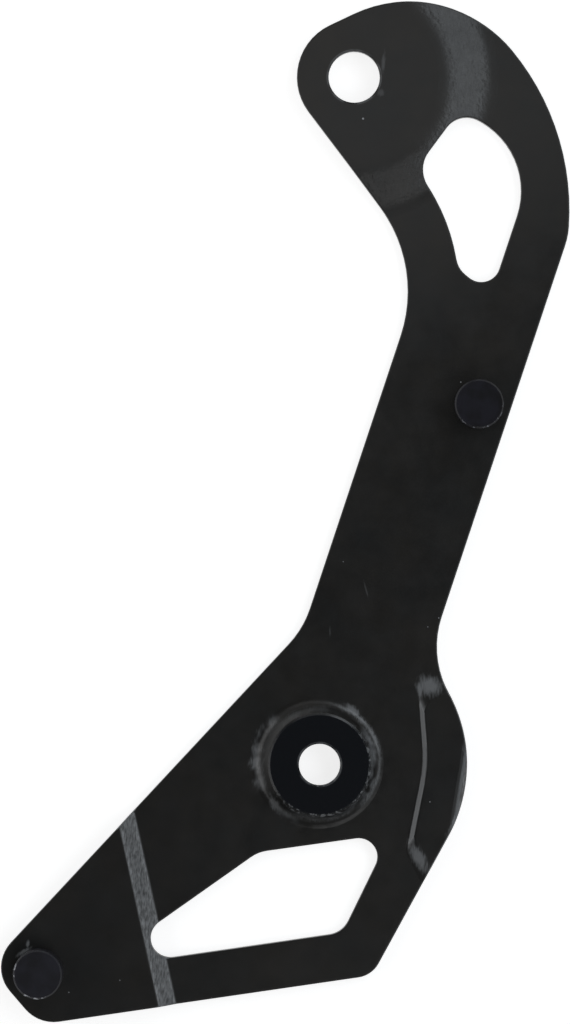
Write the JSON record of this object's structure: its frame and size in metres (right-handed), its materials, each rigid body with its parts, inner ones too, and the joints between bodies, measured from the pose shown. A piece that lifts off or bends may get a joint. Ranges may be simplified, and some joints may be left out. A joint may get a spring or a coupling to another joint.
{
  "type": "derailleur chain guide plate",
  "caption": "Pressed steel inner cage plate of a bicycle rear derailleur, with dished pulley seats, lightening windows, a stepped tail and riveted chain pins.",
  "frame": {"origin": "on the tension pulley's axle, in the plane of the two pulley seats", "axes": "+Y from the tension pulley's axle to the guide pulley's axle, +Z along the axles towards the chain, +X towards the front of the bicycle"},
  "size_m": [0.0694, 0.1357, 0.0082],
  "materials": {
    "plate_paint": "satin black paint on pressed steel",
    "pin_finish": "smooth blue-black oxide on turned steel"
  },
  "bodies": {
    "root": {"guide_plate": "plate_paint", "chain_pin_upper": "pin_finish", "chain_pin_lower": "pin_finish"}
  },
  "joints": []
}
